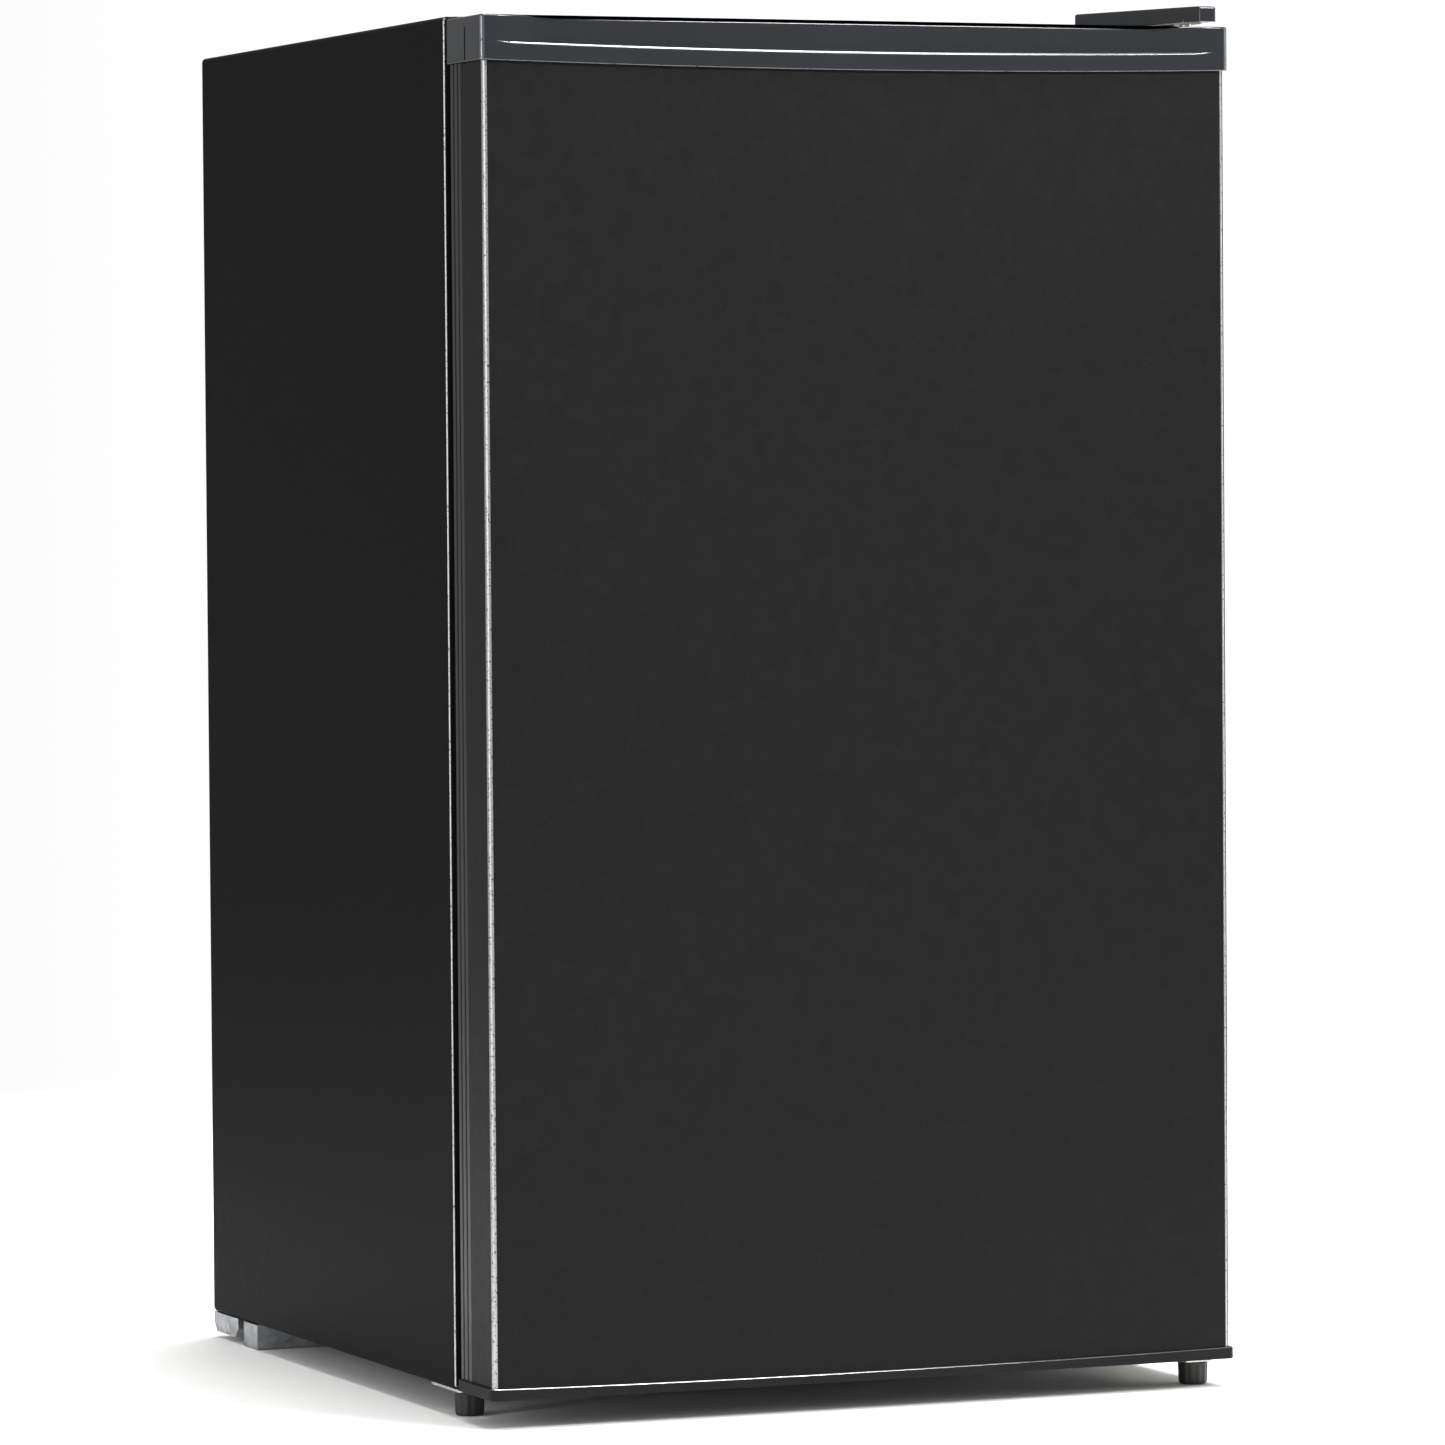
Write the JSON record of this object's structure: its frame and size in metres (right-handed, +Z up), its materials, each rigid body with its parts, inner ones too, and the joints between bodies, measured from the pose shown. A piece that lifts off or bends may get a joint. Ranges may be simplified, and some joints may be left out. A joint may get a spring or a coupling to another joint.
{
  "type": "mini fridge",
  "caption": "Upright black compact refrigerator with one insulated door hinged on the right, inner freezer box, glass shelves, crisper drawer and a rear wire condenser.",
  "frame": {"origin": "bottom centre of the whole appliance's bounding box, on the floor", "axes": "+Z up, +X to the viewer's right when facing the door, the door faces -Y and the condenser +Y"},
  "size_m": [0.488, 0.5543, 0.848],
  "materials": {
    "cabinet_steel": "black fine-textured polyester powder paint on pre-coated steel",
    "galvanised_steel": "hot-dip galvanised sheet, dull with fine spangle",
    "foam": "rigid polyurethane foam, hidden between the skins",
    "white_lining": "vacuum-formed white high-impact polystyrene",
    "white_plastic": "moulded white polystyrene and ABS",
    "knob": "moulded light grey ABS dial",
    "nylon": "natural nylon",
    "zinc_steel": "zinc-plated pressed steel",
    "foot_plastic": "moulded black-brown polypropylene",
    "cap_plastic": "moulded black ABS, semi-gloss",
    "trim_plastic": "extruded black PVC edge strip",
    "door_steel": "black fine-textured pre-coated steel",
    "seal_rubber": "soft black PVC magnetic seal",
    "mount_rubber": "black moulded rubber",
    "clear_plastic": "clear moulded polystyrene",
    "shelf_glass": "4 mm tempered glass",
    "aluminium": "roll-bonded aluminium evaporator",
    "black_enamel": "black stoved enamel on steel",
    "relay_plastic": "moulded black polypropylene",
    "copper": "bare drawn copper, slightly tarnished"
  },
  "bodies": {
    "cabinet": {"cabinet_wrapper": "cabinet_steel", "back_panel": "galvanised_steel", "base_panel": "galvanised_steel", "base_rail": "galvanised_steel", "rear_crossbar": "galvanised_steel", "compressor_base_plate": "galvanised_steel", "insulation_foam": "foam", "inner_liner": "white_lining", "freezer_frame": "white_plastic", "upper_shelf_trim": "white_plastic", "lower_shelf_trim": "white_plastic", "crisper_cover_trim": "white_plastic", "thermostat_housing": "white_plastic", "left_foot_plate": "zinc_steel", "lower_hinge_bracket": "zinc_steel", "lower_hinge_pin": "zinc_steel", "top_hinge_bracket": "zinc_steel", "top_hinge_pin": "zinc_steel", "hinge_cover": "cap_plastic", "rubber_mount_1": "mount_rubber", "rubber_mount_2": "mount_rubber", "rubber_mount_3": "mount_rubber", "rubber_mount_4": "mount_rubber", "cord_inlet_gland": "mount_rubber", "drip_tray": "clear_plastic", "upper_shelf_glass": "shelf_glass", "lower_shelf_glass": "shelf_glass", "crisper_cover_glass": "shelf_glass", "freezer_box": "aluminium", "compressor_shell": "black_enamel", "compressor_foot_plate": "black_enamel", "condenser_coil": "black_enamel", "condenser_bracket_left": "black_enamel", "condenser_bracket_right": "black_enamel", "relay_cover": "relay_plastic", "evaporation_tray": "relay_plastic", "suction_line": "copper", "discharge_line": "copper", "capillary_tube": "copper", "filter_drier": "copper", "sensor_tube": "copper"},
    "door": {"door_skin": "door_steel", "door_trim_left": "trim_plastic", "door_trim_right": "trim_plastic", "door_top_cap": "cap_plastic", "door_bottom_cap": "cap_plastic", "upper_hinge_bush": "nylon", "lower_hinge_bush": "nylon", "door_foam": "foam", "door_liner": "white_lining", "door_seal": "seal_rubber", "door_rack_top": "clear_plastic", "door_rack_middle": "clear_plastic", "door_rack_bottom": "clear_plastic", "bottle_bar": "white_plastic"},
    "freezer_flap": {"freezer_flap": "white_plastic"},
    "crisper_drawer": {"crisper_drawer": "clear_plastic"},
    "thermostat_knob": {"thermostat_knob": "knob"},
    "front_left_foot": {"front_left_foot": "foot_plastic"},
    "front_right_foot": {"front_right_foot": "foot_plastic"}
  },
  "joints": [
    {"name": "door_hinge", "type": "hinge", "parent": "cabinet", "child": "door", "pos_m": [0.2285, -0.2462, 0], "axis": [0, 0, 1], "range_deg": [0, 120]},
    {"name": "freezer_flap_hinge", "type": "hinge", "parent": "cabinet", "child": "freezer_flap", "pos_m": [0, -0.1022, 0.661], "axis": [1, 0, 0], "range_deg": [0, 90]},
    {"name": "crisper_slide", "type": "slide", "parent": "cabinet", "child": "crisper_drawer", "axis": [0, -1, 0], "range_m": [0, 0.1152]},
    {"name": "thermostat_turn", "type": "hinge", "parent": "cabinet", "child": "thermostat_knob", "pos_m": [0.18, -0.0372, 0.59], "axis": [-1, 0, 0], "range_deg": [-270, 0]},
    {"name": "left_foot_turn", "type": "hinge", "parent": "cabinet", "child": "front_left_foot", "pos_m": [-0.229, -0.1952, 0], "axis": [0, 0, 1], "continuous": true},
    {"name": "right_foot_turn", "type": "hinge", "parent": "cabinet", "child": "front_right_foot", "pos_m": [0.2285, -0.2462, 0], "axis": [0, 0, 1], "continuous": true}
  ],
  "couplings": [
    {"joint": "freezer_flap_hinge", "follows": "door_hinge", "ratio": 0.75},
    {"joint": "crisper_slide", "follows": "door_hinge", "m_per_rad": 0.055}
  ]
}
